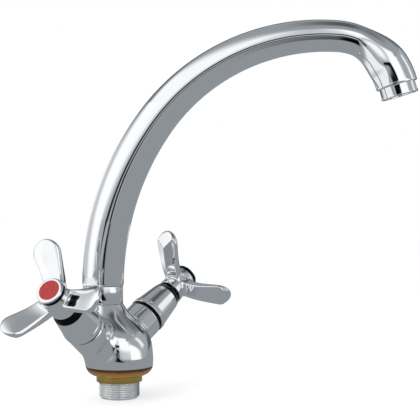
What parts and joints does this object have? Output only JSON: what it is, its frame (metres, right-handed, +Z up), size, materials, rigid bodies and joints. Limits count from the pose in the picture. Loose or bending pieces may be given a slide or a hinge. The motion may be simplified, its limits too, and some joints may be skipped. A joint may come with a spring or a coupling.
{
  "type": "kitchen mixer tap",
  "caption": "Two-handle deck mixer tap with a swivelling swan-neck spout, lobed handles on swept arms, a dished brass base and a threaded fixing shank.",
  "frame": {"origin": "on the fixing shank's axis, where the shank leaves the base flange's collar: the plane of the worktop", "axes": "+Z up along the shank, -Y towards the user, +X to the user's right, which is the cold side"},
  "size_m": [0.212, 0.2056, 0.259],
  "materials": {
    "chrome": "polished chrome plate on brass",
    "brass": "bare cast and turned brass",
    "shank_steel": "bright zinc-plated thread",
    "headwork_brass": "turned brass",
    "seal_rubber": "black rubber",
    "slip_plastic": "white low-friction plastic",
    "ceramic": "lapped white ceramic",
    "steel": "stainless steel",
    "insert_plastic": "moulded plastic",
    "index_red": "glossy red plastic",
    "index_blue": "glossy blue plastic"
  },
  "bodies": {
    "tap_body": {"threaded_shank": "shank_steel", "base_flange": "brass", "flange_seal": "seal_rubber", "body_casting": "chrome", "spout_collar": "chrome", "lower_slip_ring": "slip_plastic", "upper_slip_ring": "slip_plastic", "hot_seat_seal": "seal_rubber", "hot_fixed_disc": "ceramic", "hot_headwork_body": "headwork_brass", "hot_sleeve": "chrome", "cold_seat_seal": "seal_rubber", "cold_fixed_disc": "ceramic", "cold_headwork_body": "headwork_brass", "cold_sleeve": "chrome"},
    "spout": {"spout": "chrome", "spout_tailpiece": "headwork_brass", "lower_spout_seal": "seal_rubber", "upper_spout_seal": "seal_rubber", "aerator_housing": "chrome", "aerator_washer": "seal_rubber", "aerator_screen": "steel", "aerator_insert": "insert_plastic"},
    "hot_handle": {"hot_moving_disc": "ceramic", "hot_spindle": "headwork_brass", "hot_spindle_seal": "seal_rubber", "hot_spindle_clip": "steel", "hot_handle": "chrome", "hot_handle_screw": "steel", "hot_index_cap": "index_red"},
    "cold_handle": {"cold_moving_disc": "ceramic", "cold_spindle": "headwork_brass", "cold_spindle_seal": "seal_rubber", "cold_spindle_clip": "steel", "cold_handle": "chrome", "cold_handle_screw": "steel", "cold_index_cap": "index_blue"}
  },
  "joints": [
    {"name": "spout_swivel", "type": "hinge", "parent": "tap_body", "child": "spout", "pos_m": [0, 0.014, 0.065], "axis": [0, 0, 1], "continuous": true},
    {"name": "hot_turn", "type": "hinge", "parent": "tap_body", "child": "hot_handle", "pos_m": [0, 0.0088, 0.0175], "axis": [-0.8307, -0.1345, 0.5402], "range_deg": [0, 90]},
    {"name": "cold_turn", "type": "hinge", "parent": "tap_body", "child": "cold_handle", "pos_m": [0, 0.0088, 0.0175], "axis": [0.8307, -0.1345, 0.5402], "range_deg": [0, 90]}
  ]
}
